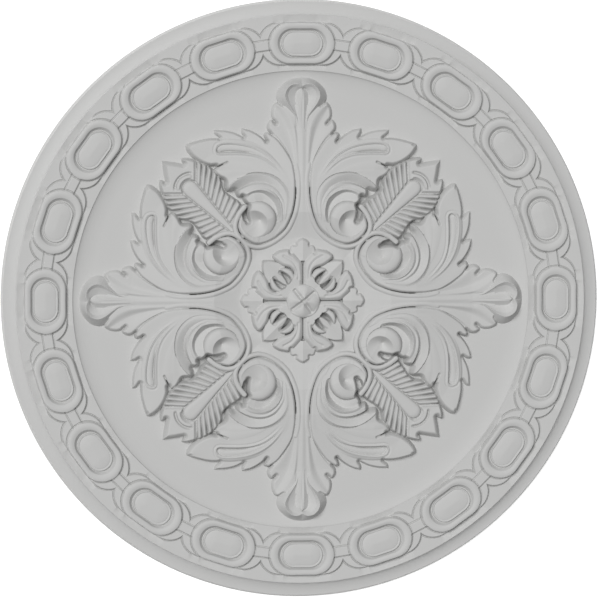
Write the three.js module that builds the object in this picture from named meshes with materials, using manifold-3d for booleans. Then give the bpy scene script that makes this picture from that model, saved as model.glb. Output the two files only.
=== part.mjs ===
// Ceiling rose: a round moulded ornament that is glued and screwed flat to a ceiling.
// It is one casting: a turned rim and dished field, a ring of linked ovals, and a carved
// flower of four acanthus leaves, four palmettes and a rosette.
// Millimetres. The flat back lies at z = 0 with the origin at its centre, and the carved
// face looks along +Z. On a ceiling the whole thing is turned over.

import * as THREE from 'three';
import { mergeVertices } from 'three/addons/utils/BufferGeometryUtils.js';
import Module from 'manifold-3d';

const wasm = await Module();
wasm.setup();

// Driving sizes of the turned body
const rimRadius = 210;           // outer edge of the rose
const rimEdgeDraft = 1.6;        // how far the thin side edge leans in
const rimEdgeHeight = 5;         // height of the thin side edge
const rimCoveWidth = 9.3;        // hollow that falls away to the rim
const outerListWidth = 4.8;      // flat band outside the ring
const ringWidth = 30.4;          // bed that carries the linked ovals
const innerListWidth = 3.6;      // flat band inside the ring
const fieldCoveWidth = 14;       // hollow that falls from the ring to the field
const listHeight = 11;           // height of both flat bands and of the bed
const fieldHeight = 7.5;         // height of the smooth field
const coveSteps = 2;             // facets across each hollow
const turns = 60;                // facets round the rose

// Ring of linked ovals
const ovalCount = 20;            // even and a multiple of four, so one stands on each axis
const bandLength = 46.6;         // outer length of an oval band, along the ring
const bandWidth = 30.4;          // its outer width, across the ring
const bandEndFace = 7;           // flat face of the band at its ends
const bandSideFace = 4.2;        // and at its sides
const bandHeight = 14.4;         // top of the band
const bandDraft = 0.7;           // lean of the band's walls
const grooveWidth = 1.9;         // sunk channel round the cabochon
const grooveHeight = 11.9;       // floor of the channel
const cabochonEdgeHeight = 13.2;
const cabochonCrown = 1.3;       // rise from the cabochon's edge to its middle
const stepOverhang = 4.3;        // how far the lower oval shows past the band's ends
const stepSide = 0.2;            // and past its sides
const stepHeight = 12.8;
const linkWidth = 7.6;           // strap between two bands, across the ring
const linkHeight = 13.9;
const linkLength = 11;           // strap's own length, hidden ends included
const ovalFacets = 8;            // a multiple of four

// Carved flower. Its points are places on the carver's drawing, where a leaf's tip is 155.8
// units from the centre, and its rises are counted in units of their own.
const drawingUnit = 1;           // length of one unit of the drawing
const riseUnit = 1;              // height of one unit of rise
const rootHeight = 3;            // height inside the body at which carved pieces start
const wallLean = 1.6;            // draft of carved side walls, so the casting leaves its mould
const moundFacets = 8;
const scrollEye = [31, 57];      // middle of the scroll's eye on the drawing

// Reeds on one side of a palmette: the line of their feet and the line of their heads, each
// from the innermost reed to the outermost
const reedCount = 5;
const reedRise = 1.9;
const reedValleyRise = 0.6;
const reedFeet = [[47, 52.5], [73, 82]];
const reedHeads = [[42, 66], [71, 92]];

// Bud in the middle, with two crossed cuts
const budFacets = 10;
const budRise = 11.4;
const budProfile = [[11.6, 7], [8, 10], [0, budRise]];
const budCutWidth = 1.4;
const budCutDepth = 1.6;
const budCutLength = 20;
const budCutAngle = 28;          // turn of the cuts, degrees

const at = (x, y) => new THREE.Vector2(x * drawingUnit, y * drawingUnit);

// Height of the carved leaves, and of the plain mound under them, against the radius
const leafLevels = [
  [0, 8.6], [44, 9], [62, 12.4], [80, 11.4], [100, 8.2], [120, 5.4], [140, 3.4], [160, 2.4],
];
const palmetteLevels = [[0, 9], [62, 9.6], [80, 8.6], [100, 6.4], [120, 4.4], [140, 3]];
const moundLevels = [[43, 8.6], [60, 11.2], [84, 7], [112, -0.4]];

function levelAt(levels, radius) {
  const r = radius / drawingUnit;
  let upper = levels.findIndex(([reach]) => reach >= r);
  if (upper < 0) upper = levels.length - 1;
  const lower = Math.max(upper - 1, 0);
  const span = levels[upper][0] - levels[lower][0] || 1;
  const share = THREE.MathUtils.clamp((r - levels[lower][0]) / span, 0, 1);
  const rise = THREE.MathUtils.lerp(levels[lower][1], levels[upper][1], share);
  return fieldHeight + rise * riseUnit;
}

// Value at share t of a list of values spaced evenly from 0 to 1
function along(values, t) {
  const place = THREE.MathUtils.clamp(t, 0, 1) * (values.length - 1);
  const first = Math.min(Math.floor(place), values.length - 2);
  return THREE.MathUtils.lerp(values[first], values[first + 1], place - first);
}

// A closed geometry becomes a solid that can be joined and cut
function solid(geometry) {
  const bare = geometry.clone();
  bare.deleteAttribute('normal');
  bare.deleteAttribute('uv');
  const merged = mergeVertices(bare, 1e-4);
  return new wasm.Manifold(new wasm.Mesh({
    numProp: 3,
    vertProperties: new Float32Array(merged.attributes.position.array),
    triVerts: new Uint32Array(merged.index.array),
  }));
}

// The same geometry placed by a matrix; a mirrored one has its faces turned back outward
function placed(geometry, matrix) {
  const copy = geometry.clone().applyMatrix4(matrix);
  if (matrix.determinant() < 0) {
    const index = copy.index.array;
    for (let i = 0; i < index.length; i += 3) {
      [index[i], index[i + 1]] = [index[i + 1], index[i]];
    }
  }
  return copy;
}

// A carved blade follows a spine seen from above. Its half-widths and rises are lists along
// the spine, and its section is a list across it: 1 stands at the full rise, 0 at the level.
function blade({ spine, widths, rises, section = [0, 1, 0], steps = 6, levels = leafLevels }) {
  const curve = new THREE.SplineCurve(spine.map(([x, y]) => at(x, y)));
  const across = section.length - 1;
  const geometry = new THREE.BoxGeometry(1, 1, 1, across, 1, steps);
  const position = geometry.attributes.position;
  for (let i = 0; i < position.count; i += 1) {
    const t = THREE.MathUtils.clamp(position.getZ(i) + 0.5, 0, 1);
    const side = position.getX(i) * 2;
    const top = position.getY(i) > 0;
    const centre = curve.getPointAt(t);
    const ahead = curve.getTangentAt(t);
    const half = along(widths, t) * drawingUnit + (top ? 0 : wallLean);
    const x = centre.x - ahead.y * side * half;
    const y = centre.y + ahead.x * side * half;
    const rise = along(rises, t) * along(section, (side + 1) / 2) * riseUnit;
    const height = top ? levelAt(levels, Math.hypot(x, y)) + rise : rootHeight;
    position.setXYZ(i, x, y, height);
  }
  return facingOut(geometry);
}

// A carved panel lies between rails that run side by side. Each rail is a few points of the
// drawing and the rises above the level along it: ridges and valleys are rails of their own.
function panel({ rails, steps, levels = leafLevels }) {
  const curves = rails.map(({ points }) => new THREE.SplineCurve(points.map(([x, y]) => at(x, y))));
  const last = rails.length - 1;
  const geometry = new THREE.BoxGeometry(1, 1, 1, last, 1, steps);
  const position = geometry.attributes.position;
  for (let i = 0; i < position.count; i += 1) {
    const rail = Math.round((position.getX(i) + 0.5) * last);
    const t = THREE.MathUtils.clamp(position.getZ(i) + 0.5, 0, 1);
    const point = curves[rail].getPoint(t);
    const rise = along(rails[rail].rises, t) * riseUnit;
    let height = levelAt(levels, point.length()) + rise;
    if (position.getY(i) < 0) {
      height = rootHeight;
      leanOut(point, curves, rail, t);
    }
    position.setXYZ(i, point.x, point.y, height);
  }
  return facingOut(geometry);
}

// Moves a point of a panel's foot outward by the draft of its walls
function leanOut(point, curves, rail, t) {
  const last = curves.length - 1;
  if (t === 0 || t === 1) {
    point.addScaledVector(curves[rail].getTangent(t), t === 0 ? -wallLean : wallLean);
  }
  if (rail === 0 || rail === last) {
    const neighbour = curves[rail === 0 ? 1 : last - 1].getPoint(t);
    const away = curves[rail].getPoint(t).sub(neighbour).normalize();
    point.addScaledVector(away, wallLean);
  }
}

// Turns all faces of a closed geometry outward: its volume is negative if they point inward
function facingOut(geometry) {
  const p = geometry.attributes.position;
  const index = geometry.index.array;
  const a = new THREE.Vector3();
  const b = new THREE.Vector3();
  const c = new THREE.Vector3();
  let volume = 0;
  for (let i = 0; i < index.length; i += 3) {
    a.fromBufferAttribute(p, index[i]);
    b.fromBufferAttribute(p, index[i + 1]);
    c.fromBufferAttribute(p, index[i + 2]);
    volume += a.dot(b.cross(c));
  }
  if (volume < 0) {
    for (let i = 0; i < index.length; i += 3) {
      [index[i], index[i + 1]] = [index[i + 1], index[i]];
    }
  }
  return geometry;
}

// A turned form stands on a point of the drawing: profile pairs are radius and rise
function turnedBoss([x, y], profile, facets, levels = leafLevels) {
  const centre = at(x, y);
  const level = levelAt(levels, centre.length());
  const outermost = profile[0][0] * drawingUnit + wallLean;
  const points = [new THREE.Vector2(0, rootHeight), new THREE.Vector2(outermost, rootHeight)];
  for (const [radius, rise] of profile) {
    points.push(new THREE.Vector2(radius * drawingUnit, level + rise * riseUnit));
  }
  const geometry = new THREE.LatheGeometry(points, facets);
  geometry.rotateX(Math.PI / 2);
  geometry.translate(centre.x, centre.y, 0);
  return facingOut(geometry);
}

// A hollow quarter curve from one radius and height to another, steepest at the high end
function cove(fromRadius, fromHeight, toRadius, toHeight) {
  const points = [];
  for (let i = 0; i <= coveSteps; i += 1) {
    const angle = (i / coveSteps) * (Math.PI / 2);
    const radius = THREE.MathUtils.lerp(fromRadius, toRadius, 1 - Math.cos(angle));
    const height = THREE.MathUtils.lerp(fromHeight, toHeight, Math.sin(angle));
    points.push(new THREE.Vector2(radius, height));
  }
  return points;
}

// Turned body: rim, two flat bands with the bed between them, and the smooth field
function turnedBody() {
  const rimTop = rimRadius - rimEdgeDraft;
  const outerList = rimTop - rimCoveWidth;
  const ringOuter = outerList - outerListWidth;
  const ringInner = ringOuter - ringWidth;
  const innerList = ringInner - innerListWidth;
  const fieldEdge = innerList - fieldCoveWidth;
  const points = [
    new THREE.Vector2(0, 0),
    new THREE.Vector2(rimRadius, 0),
    ...cove(rimTop, rimEdgeHeight, outerList, listHeight),
    new THREE.Vector2(innerList, listHeight),
    ...cove(fieldEdge, fieldHeight, innerList, listHeight).reverse().slice(1),
    new THREE.Vector2(0, fieldHeight),
  ];
  const geometry = new THREE.LatheGeometry(points, turns);
  geometry.rotateX(Math.PI / 2);
  return facingOut(geometry);
}

// Plain mound that lifts the flower's middle off the field
function mound() {
  const points = [new THREE.Vector2(0, rootHeight)];
  const outermost = moundLevels[moundLevels.length - 1][0] * drawingUnit;
  points.push(new THREE.Vector2(outermost, rootHeight));
  for (const [reach] of [...moundLevels].reverse()) {
    const radius = reach * drawingUnit;
    points.push(new THREE.Vector2(radius, levelAt(moundLevels, radius)));
  }
  points.push(new THREE.Vector2(0, levelAt(moundLevels, 0)));
  const geometry = new THREE.LatheGeometry(points, moundFacets);
  geometry.rotateX(Math.PI / 2);
  return facingOut(geometry);
}

const ringRadius = rimRadius - rimEdgeDraft - rimCoveWidth - outerListWidth - ringWidth / 2;

// A turned form drawn out to an oval with round ends and straight sides. Each row of the
// profile gives half the length along the ring, half the width across it, and a height. It
// stands at the ring's middle on +X.
function oval(profile) {
  const [footLength, footWidth] = profile[0];
  const rows = [[footLength, footWidth, rootHeight], ...profile];
  const points = [new THREE.Vector2(0, rootHeight)];
  for (const [, halfWidth, height] of rows) {
    points.push(new THREE.Vector2(halfWidth, height));
  }
  const geometry = new THREE.LatheGeometry(points, ovalFacets);
  geometry.rotateX(Math.PI / 2);
  geometry.rotateZ(Math.PI / ovalFacets);
  const position = geometry.attributes.position;
  for (let i = 0; i < position.count; i += 1) {
    const row = i % points.length;
    const straight = row > 0 ? rows[row - 1][0] - rows[row - 1][1] : 0;
    const end = Math.sign(position.getY(i));
    position.setXY(i, ringRadius + position.getX(i), position.getY(i) + end * straight);
  }
  return facingOut(geometry);
}

// One oval of the ring: a lower step that shows past the band, the band itself, a sunk
// channel and a crowned cabochon
function linkedOval() {
  const halfLength = bandLength / 2;
  const halfWidth = bandWidth / 2;
  const innerLength = halfLength - bandEndFace;
  const innerWidth = halfWidth - bandSideFace;
  return oval([
    [halfLength + stepOverhang, halfWidth + stepSide, stepHeight],
    [halfLength, halfWidth - bandDraft, stepHeight],
    [halfLength - bandDraft, halfWidth - 2 * bandDraft, bandHeight],
    [innerLength, innerWidth, bandHeight],
    [innerLength - grooveWidth / 2, innerWidth - grooveWidth / 2, grooveHeight],
    [innerLength - grooveWidth, innerWidth - grooveWidth, cabochonEdgeHeight],
    [0, 0, cabochonEdgeHeight + cabochonCrown],
  ]);
}

// Ridges and valleys of the half leaf to the right of its axis, from the stem to the outline:
// each row has the rail's start, middle and end, and its rises there
const leafRails = [
  [[0, 92], [0, 110], [0, 127], [1.2, 1.4, 1.6]],                 // midrib
  [[2.6, 93], [3, 110], [5, 123], [0.2, -0.2, 0]],
  [[4.4, 94], [9, 116], [17.6, 138.4], [1, 1.8, 1]],              // second lobe
  [[6, 94], [13, 114], [22.3, 130.5], [0.3, 1.2, 0.6]],
  [[7.4, 93.6], [13.5, 107], [19, 123.5], [-0.3, -0.4, -0.4]],
  [[8.6, 93], [16, 108], [25, 124], [0.8, 1.6, 0.8]],             // third lobe
  [[10, 92], [17.5, 105], [23.6, 114.8], [-0.4, -0.4, -0.4]],
  [[12, 90.6], [22, 103], [28.6, 113.4], [0.2, 0.6, 0.2]],
  [[14.6, 89.4], [30, 103.5], [43.2, 119.8], [1, 2.2, 0.8]],      // fourth lobe, first tooth
  [[16.6, 88.8], [35, 103], [42, 113.6], [0.6, 1.6, 0.6]],
  [[19, 88.4], [42, 103.5], [62.2, 117.6], [1, 2.2, 0.8]],        // second tooth
  [[22, 88.2], [48, 103], [60.5, 112.4], [0.8, 2.4, 1]],
  [[25, 88], [54, 102.4], [73, 110.4], [1, 2.8, 1.6]],            // main tip, above its flute
  [[28, 87.8], [56, 100.4], [82.6, 104.4], [0.4, 0.6, 1]],
  [[31, 87.4], [56, 98.2], [75, 97.8], [1, 2.8, 1.2]],
  [[34, 87], [44, 93.5], [52, 96.4], [0.2, 0.4, 0.2]],
  [[38, 86.4], [50, 90.4], [62.3, 91.4], [0.8, 1.8, 0.6]],        // fifth lobe
  [[42, 85], [48, 85.6], [54, 84.8], [0.4, 0.8, 0.4]],
];

// Crescents that wrap the scroll, from its left side over the top, outermost first
const crescentRails = [
  { points: [[9, 66], [11, 80], [22, 89], [36, 89.5], [48, 82.5], [56, 75]], rises: [0.4] },
  { points: [[11, 66], [13.5, 78], [22, 85.5], [33, 86.5], [44, 82], [51.5, 77.5]], rises: [3] },
  { points: [[13.5, 65.5], [16, 74.5], [23, 80.5], [33, 82.5], [42, 79], [46, 75.5]], rises: [1] },
  { points: [[15, 64], [18, 72.5], [25, 78.6], [33, 79.4], [40, 76.5], [44, 73]], rises: [3.6] },
  { points: [[16.5, 62], [20, 70.5], [26, 75.5], [32, 76], [37.5, 73], [41, 69]], rises: [1.4] },
].map(({ points, rises: [rise] }) => ({ points, rises: [rise * 0.6, rise, rise, rise, 0.2] }));

// Rolled edge of the scroll, from the stem round under the eye to the palmette
const rollRails = [
  { points: [[5, 94], [3, 82], [5, 67], [10, 54], [19, 43], [31, 39], [42, 42]],
    rises: [0, 0.2, 0.2] },
  { points: [[7.6, 94], [6.2, 82], [8, 68], [13, 56], [21, 46.6], [32, 42.4], [41, 45]],
    rises: [0.6, 2.6, 2.6] },
  { points: [[11, 92], [10, 82], [12, 68], [17, 58], [24, 50], [33, 46], [40, 48]],
    rises: [0, 0.6, 0.6] },
];

function halfLeaf() {
  const rails = leafRails.map(([start, middle, end, rises]) => ({ points: [start, middle, end], rises }));
  return [
    panel({ rails, steps: 2 }),
    panel({ rails: crescentRails, steps: 3 }),
    panel({ rails: rollRails, steps: 4 }),
    // Eye of the scroll, dished in the middle
    turnedBoss(scrollEye, [[13.4, 3.4], [10.4, 5], [0, 1.6]], 8),
  ];
}

// Fan of reeds on one side of a palmette, which stands on the diagonal: one pleated panel
// between the line of the reeds' feet, by the tongue, and the line of their heads
function halfPalmette() {
  const pleats = 2 * reedCount;
  const geometry = new THREE.BoxGeometry(1, 1, 1, pleats, 1, 1);
  const position = geometry.attributes.position;
  for (let i = 0; i < position.count; i += 1) {
    const t = position.getX(i) + 0.5;
    const outward = position.getZ(i) > 0;
    const [from, to] = outward ? reedHeads : reedFeet;
    const point = at(THREE.MathUtils.lerp(from[0], to[0], t), THREE.MathUtils.lerp(from[1], to[1], t));
    const onRidge = Math.round(t * pleats) % 2 === 1;
    const rise = (onRidge ? reedRise : reedValleyRise) * riseUnit;
    const top = levelAt(palmetteLevels, point.length()) + rise;
    position.setXYZ(i, point.x, point.y, position.getY(i) > 0 ? top : rootHeight);
  }
  return [facingOut(geometry)];
}

// Pieces that stand on a leaf's own axis
function leafMiddle() {
  return [
    // Rolled tip, hollow inside its lip
    blade({ spine: [[0, 124], [0, 140], [0, 155.8]], widths: [4.4, 8.4, 15.3, 17.6, 14.2, 3],
      rises: [2.6, 3.4, 4, 4, 3, 0.4], section: [-0.4, 1, 0.1, 1, -0.4], steps: 5 }),
  ];
}

// Pieces that stand on a palmette's own axis, drawn along +Y before the turn to the diagonal
function palmetteMiddle() {
  return [
    blade({ spine: [[0, 110], [0, 135.5]], widths: [19, 0.6],
      rises: [0.4, 0.4], section: [1, 1], steps: 1, levels: palmetteLevels }),
    blade({ spine: [[0, 62], [0, 88], [0, 115]], widths: [0.8, 4, 5.6, 1.6],
      rises: [1.6, 3.2, 3.4, 0.6], section: [0, 1, 0], steps: 3, levels: palmetteLevels }),
  ];
}

// Half of one petal of the rosette: its side lobe and the curl against the tongue
function halfPetal() {
  return [
    blade({ spine: [[4.6, 10], [5.2, 22], [9, 30.5], [18, 32.5]], widths: [2.4, 4.4, 5.4, 4.6, 1],
      rises: [4, 7, 8, 7, 4.5], steps: 3 }),
    turnedBoss([11.6, 19.8], [[4.6, 7.4], [0, 8.8]], 6),
  ];
}

// Tongue of a petal, square at its end, on the diagonal
function petalMiddle() {
  return [
    blade({ spine: [[0, 10], [0, 40.6]], widths: [4, 5.4, 6.6, 7.5, 0.7],
      rises: [4, 5, 6, 5.6, 5], section: [1, 0.7, 1], steps: 4 }),
  ];
}

// Small three-lobed leaf that shows between two petals
function smallLeaf() {
  return [
    blade({ spine: [[0, 28], [0, 43]], widths: [6, 8.6, 4.4, 0.8], rises: [3, 3, 2.4, 1], steps: 3 }),
  ];
}

// Round bud in the middle, cut crosswise
function bud() {
  let cut = solid(turnedBoss([0, 0], budProfile, budFacets));
  const top = levelAt(leafLevels, 0) + budRise * riseUnit;
  for (const quarter of [0, 1]) {
    const slot = new THREE.BoxGeometry(budCutWidth, budCutLength * drawingUnit, 2 * budCutDepth);
    slot.rotateZ(THREE.MathUtils.degToRad(budCutAngle + quarter * 90));
    slot.translate(0, 0, top);
    cut = cut.subtract(solid(slot));
  }
  return cut;
}

const turn = (angle) => new THREE.Matrix4().makeRotationZ(angle);
const mirror = new THREE.Matrix4().makeScale(-1, 1, 1);

let rose = solid(turnedBody()).add(solid(mound())).add(bud());
for (const side of [false, true]) {
  for (const geometry of [...halfLeaf(), ...halfPalmette(), ...halfPetal()]) {
    for (let quarter = 0; quarter < 4; quarter += 1) {
      const matrix = turn(quarter * Math.PI / 2);
      if (side) matrix.multiply(mirror);
      rose = rose.add(solid(placed(geometry, matrix)));
    }
  }
}
for (let quarter = 0; quarter < 4; quarter += 1) {
  for (const geometry of [...leafMiddle(), ...smallLeaf()]) {
    rose = rose.add(solid(placed(geometry, turn(quarter * Math.PI / 2))));
  }
  for (const geometry of [...palmetteMiddle(), ...petalMiddle()]) {
    rose = rose.add(solid(placed(geometry, turn((quarter + 0.5) * Math.PI / 2))));
  }
}

const link = new THREE.BoxGeometry(linkWidth, linkLength, linkHeight - rootHeight);
link.translate(ringRadius, 0, (linkHeight + rootHeight) / 2);
for (let i = 0; i < ovalCount; i += 1) {
  const angle = (i / ovalCount) * Math.PI * 2;
  rose = rose.add(solid(placed(linkedOval(), turn(angle))));
  rose = rose.add(solid(placed(link, turn(angle + Math.PI / ovalCount))));
}

// Three.js mesh from the joined solid
function meshOf(manifold, name, material) {
  const { vertProperties, triVerts, numProp } = manifold.getMesh();
  const positions = new Float32Array((vertProperties.length / numProp) * 3);
  for (let i = 0; i < positions.length / 3; i += 1) {
    positions.set(vertProperties.subarray(i * numProp, i * numProp + 3), i * 3);
  }
  const geometry = new THREE.BufferGeometry();
  geometry.setAttribute('position', new THREE.BufferAttribute(positions, 3));
  geometry.setIndex(new THREE.BufferAttribute(new Uint32Array(triVerts), 1));
  geometry.computeVertexNormals();
  const mesh = new THREE.Mesh(geometry, material);
  mesh.name = name;
  return mesh;
}

const paint = new THREE.MeshStandardMaterial({ color: 0xe9e9e7, roughness: 0.85, metalness: 0 });
const group = new THREE.Group();
group.add(meshOf(rose, 'ceiling_rose', paint));

export default group;
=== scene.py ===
"""Moulded ceiling rose, lying on its back on a pale floor and seen from almost straight above."""
import math

import bmesh
import bpy
import numpy as np
from mathutils import Matrix, Vector


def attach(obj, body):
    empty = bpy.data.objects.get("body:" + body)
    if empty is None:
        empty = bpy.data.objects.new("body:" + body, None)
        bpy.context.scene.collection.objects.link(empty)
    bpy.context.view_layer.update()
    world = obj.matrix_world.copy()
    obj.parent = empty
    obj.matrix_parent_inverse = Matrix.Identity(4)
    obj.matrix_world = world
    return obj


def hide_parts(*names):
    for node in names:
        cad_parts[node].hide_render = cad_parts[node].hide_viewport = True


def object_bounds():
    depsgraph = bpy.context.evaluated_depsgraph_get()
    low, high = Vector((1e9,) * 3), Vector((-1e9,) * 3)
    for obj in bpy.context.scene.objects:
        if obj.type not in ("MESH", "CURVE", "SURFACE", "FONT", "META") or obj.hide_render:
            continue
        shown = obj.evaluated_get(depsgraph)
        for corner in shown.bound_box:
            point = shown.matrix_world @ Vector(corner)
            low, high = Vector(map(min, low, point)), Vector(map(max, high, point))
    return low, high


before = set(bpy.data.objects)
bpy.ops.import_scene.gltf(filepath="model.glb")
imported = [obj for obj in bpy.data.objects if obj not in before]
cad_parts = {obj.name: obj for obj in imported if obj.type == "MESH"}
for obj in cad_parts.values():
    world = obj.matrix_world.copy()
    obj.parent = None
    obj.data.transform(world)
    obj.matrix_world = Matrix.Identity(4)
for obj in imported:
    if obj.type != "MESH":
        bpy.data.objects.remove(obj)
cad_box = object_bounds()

# Turned body, in millimetres. The outer radius comes from the frame, less a hair of room.
RIM_RADIUS = 500 * (cad_box[1][0] - cad_box[0][0]) - 0.02
RIM_EDGE_DRAFT = 1.6
RIM_EDGE_HEIGHT = 5.0
RIM_COVE_WIDTH = 9.3
OUTER_LIST_WIDTH = 4.8
RING_WIDTH = 30.4
INNER_LIST_WIDTH = 3.6
FIELD_COVE_WIDTH = 14.0
LIST_HEIGHT = 11.0
FIELD_HEIGHT = 7.5

RIM_TOP = RIM_RADIUS - RIM_EDGE_DRAFT
OUTER_LIST = RIM_TOP - RIM_COVE_WIDTH
RING_OUTER = OUTER_LIST - OUTER_LIST_WIDTH
RING_INNER = RING_OUTER - RING_WIDTH
INNER_LIST = RING_INNER - INNER_LIST_WIDTH
FIELD_EDGE = INNER_LIST - FIELD_COVE_WIDTH
RING_RADIUS = (RING_OUTER + RING_INNER) / 2

# Ring of linked ovals. Each oval is its half length and half width. The margin takes in the
# ring's two edges.
RING_MARGIN = 1
OVAL_COUNT = 20
HALF_UNIT = math.pi / OVAL_COUNT
BAND = (23.0, 14.6)
BAND_HEIGHT = 14.6
BAND_SWELL = 0.7
BAND_INSIDE = (17.2, 10.4)
HOLLOW_HEIGHT = 11.6
CABOCHON = (14.2, 8.7)
CABOCHON_RIM = 13.6
CABOCHON_CROWN = 1.3
STEP = (29.8, 14.8)
STEP_HEIGHT = 12.9
STRAP_HALF_WIDTH = 3.5
STRAP_HALF_LENGTH = 8
STRAP_HEIGHT = 14.0
STEP_WALL = 0.8
STRAP_WALL = 0.7
BAND_WALL = 0.9
QUIRK_WIDTH = 1.1
QUIRK_DEPTH = 1.3
QUIRK_OFFSET = 0.3
HOLLOW_PROFILE = [(0, BAND_HEIGHT), (0.7, HOLLOW_HEIGHT), (0.85, HOLLOW_HEIGHT), (1, CABOCHON_RIM)]
CABOCHON_LIP = (0.5, 1.3)
CABOCHON_LIP_DROP = 0.5
CABOCHON_SHOULDER = 7

# Fineness of the curves and meshes
STEPS_PER_SPAN = 6
FLOWER_ROWS = 457
EIGHTH_TRIANGLES = 23000
UNIT_TRIANGLES = 4600
STEPS_ALONG_UNIT = 80
STEPS_ACROSS_RING = 90
STEPS_ACROSS_RIM = 14
BUD_TURNS = 120
BUD_RINGS = 60

# Points of neighbouring copies this near are joined, and points this near to a plane of
# symmetry are put on it, in metres
WELD = 2e-5
SNAP = 4e-5

# A distance beyond everything, the least divisor, and how much nearer counts as nearer
FAR = 1e9
TINY = 1e-6
TIE = 1e-9


def spline(points):
    """Points of a smooth curve through the given ones (Catmull-Rom)."""
    p = np.asarray(points, float)
    p = np.vstack([2 * p[0] - p[1], p, 2 * p[-1] - p[-2]])
    t = np.linspace(0, 1, STEPS_PER_SPAN, endpoint=False)[:, None]
    out = []
    for a, b, c, d in zip(p[:-3], p[1:-2], p[2:-1], p[3:]):
        bend = 2 * a - 5 * b + 4 * c - d + t * (3 * (b - c) + d - a)
        out.append(b + 0.5 * t * (c - a + t * bend))
    return np.vstack([*out, p[-2:-1]])


def stations(values, t):
    """Value at share t of a list spaced evenly from 0 to 1; a lone number holds all along."""
    values = np.atleast_1d(np.asarray(values, float))
    return np.interp(t, np.linspace(0, 1, len(values)), values)


def smooth(low, high, value):
    """0 below low, 1 above high, and an S curve between."""
    t = np.clip((value - low) / (high - low), 0, 1)
    return t * t * (3 - 2 * t)


def nearest(curve, x, y):
    """Distance to a curve, share along it, and side: above 0 on its right."""
    length = np.r_[0, np.cumsum(np.hypot(*np.diff(curve, axis=0).T))]
    best = np.full(x.shape, FAR)
    share = np.zeros(x.shape)
    side = np.ones(x.shape)
    for i in range(len(curve) - 1):
        (ax, ay), (bx, by) = curve[i], curve[i + 1]
        dx, dy = bx - ax, by - ay
        span = math.hypot(dx, dy)
        t = np.clip(((x - ax) * dx + (y - ay) * dy) / span ** 2, 0, 1)
        d = np.hypot(x - ax - t * dx, y - ay - t * dy)
        closer = d < best - TIE
        best = np.where(closer, d, best)
        share = np.where(closer, (length[i] + t * span) / length[-1], share)
        side = np.where(closer, dy * (x - ax) - dx * (y - ay), side)
    return best, share, side


def inside(outline, x, y):
    """True where a point lies in a closed outline."""
    result = np.zeros(x.shape, bool)
    for (ax, ay), (bx, by) in zip(outline, np.roll(outline, -1, axis=0)):
        if ay != by:
            result ^= ((ay > y) != (by > y)) & (x < (bx - ax) * (y - ay) / (by - ay) + ax)
    return result


def fan(rails, x, y, soft=False):
    """Height of a surface that runs through rails laid side by side, from left to right.
    Each rail is its points, the heights along it, and the bulge of the face on its right.
    Soft rounds the surface over its ridges and valleys."""
    found = [nearest(spline(points), x, y) for points, _, _ in rails]
    heights = [stations(h, t) for (_, h, _), (_, t, _) in zip(rails, found)]
    z = heights[0].copy()
    for i in range(1, len(rails)):
        past = found[i - 1][2] > 0
        left, right = found[i - 1][0], found[i][0]
        s = np.where(found[i][2] > 0, 1, left / np.maximum(left + right, TINY))
        bulge = rails[i - 1][2] * 4 * s * (1 - s)
        s = s * s * (3 - 2 * s) if soft else s
        across = heights[i - 1] * (1 - s) + heights[i] * s + bulge
        z = np.where(past, across, z)
    return z


class Relief:
    """Heights over a grid of points, in millimetres above the field."""

    def __init__(self, x, y):
        self.x, self.y = x, y
        self.z = np.zeros(x.shape)

    def near(self, curve, pad=0):
        """Indices of the grid's points in a curve's bounding box, widened by a pad."""
        low, high = curve.min(axis=0) - pad, curve.max(axis=0) + pad
        within = (self.x >= low[0]) & (self.x <= high[0]) & (self.y >= low[1]) & (self.y <= high[1])
        return np.nonzero(within)

    def region(self, edges, closing, surface):
        """Raises a carved region to its surface. Each edge is the width of its wall, its drop
        (None falls to the field) and its points; the closing points run under other carving."""
        curves = [spline(points) for _, _, points in edges]
        outline = np.vstack([*curves, np.reshape(np.asarray(closing, float), (-1, 2))])
        pick = self.near(outline)
        within = inside(outline, self.x[pick], self.y[pick])
        pick = tuple(axis[within] for axis in pick)
        x, y = self.x[pick], self.y[pick]
        top = surface(x, y)
        z = top.copy()
        for (wall, drop, _), curve in zip(edges, curves):
            share = np.clip(nearest(curve, x, y)[0] / wall, 0, 1)
            missing = 1 - np.sin(share * math.pi / 2) ** EDGE_ROUNDING
            z = np.minimum(z, top - (top if drop is None else drop) * missing)
        self.z[pick] = np.maximum(self.z[pick], z)

    def ridge(self, points, rise, half_width, level, foot):
        """Lays a rounded ridge along a curve, standing on a level."""
        curve = spline(points)
        pick = self.near(curve, half_width)
        d, t, _ = nearest(curve, self.x[pick], self.y[pick])
        across = np.clip(1 - (d / half_width) ** 2, 0, 1)
        z = level(self.x[pick], self.y[pick]) + foot + stations(rise, t) * across
        z = np.where(across > 0, z, -FAR)
        self.z[pick] = np.maximum(self.z[pick], z)

    def stroke(self, points, amount, reach, power=1.0):
        """Cuts a groove along a curve where the amount is below 0, and adds a ridge above 0.
        Reach is its breadth on the left and on the right."""
        curve = spline(points)
        left, right = reach
        pick = self.near(curve, max(left, right))
        d, t, side = nearest(curve, self.x[pick], self.y[pick])
        fall = np.clip(1 - d / np.where(side > 0, right, left), 0, 1) ** power
        ends = smooth(0, STROKE_FADE, t) * smooth(0, STROKE_FADE, 1 - t)
        self.z[pick] += stations(amount, t) * fall * ends


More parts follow.
